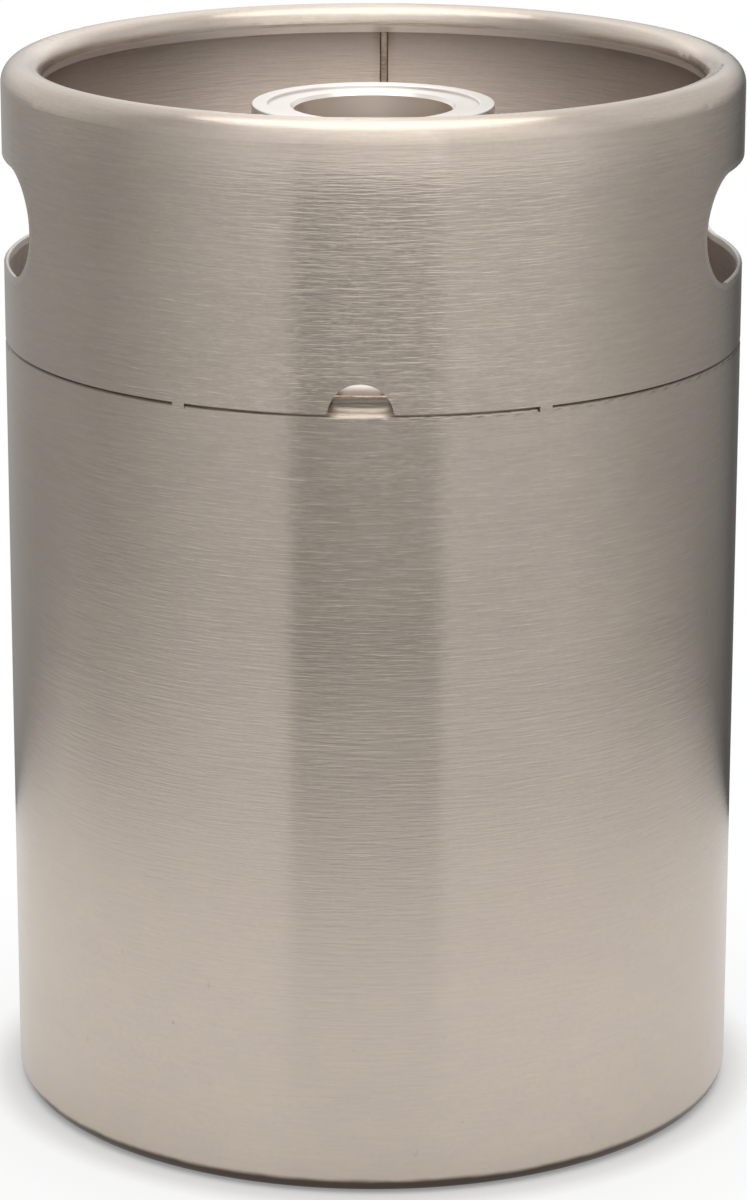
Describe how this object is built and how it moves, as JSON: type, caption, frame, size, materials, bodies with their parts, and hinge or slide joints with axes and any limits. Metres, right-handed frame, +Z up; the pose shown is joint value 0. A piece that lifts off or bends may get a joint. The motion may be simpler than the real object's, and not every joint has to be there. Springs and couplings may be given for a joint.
{
  "type": "mini keg vessel",
  "caption": "Small brushed stainless keg with a carrying collar, rolled rim, hand holes at the sides, a drain notch and an open neck for a screw-in tap.",
  "frame": {"origin": "middle of the foot, on the surface that the keg stands on", "axes": "+Z up along the keg's axis, -Y towards the drain notch (front), hand holes on +X and -X"},
  "size_m": [0.17, 0.17, 0.244],
  "materials": {
    "body_steel": "brushed around the axis",
    "collar_steel": "brushed around the axis",
    "head_steel": "satin, as drawn",
    "turned_steel": "fine turned",
    "weld": "as welded, light heat tint",
    "tack_weld": "ground flush and brushed"
  },
  "bodies": {
    "root": {"body_shell": "body_steel", "body_seam_weld": "weld", "base_head": "head_steel", "base_weld": "weld", "top_head": "head_steel", "top_head_weld": "weld", "neck_ring": "turned_steel", "neck_weld": "weld", "collar": "collar_steel", "collar_seam_weld": "weld", "collar_tack_welds": "tack_weld"}
  },
  "joints": []
}
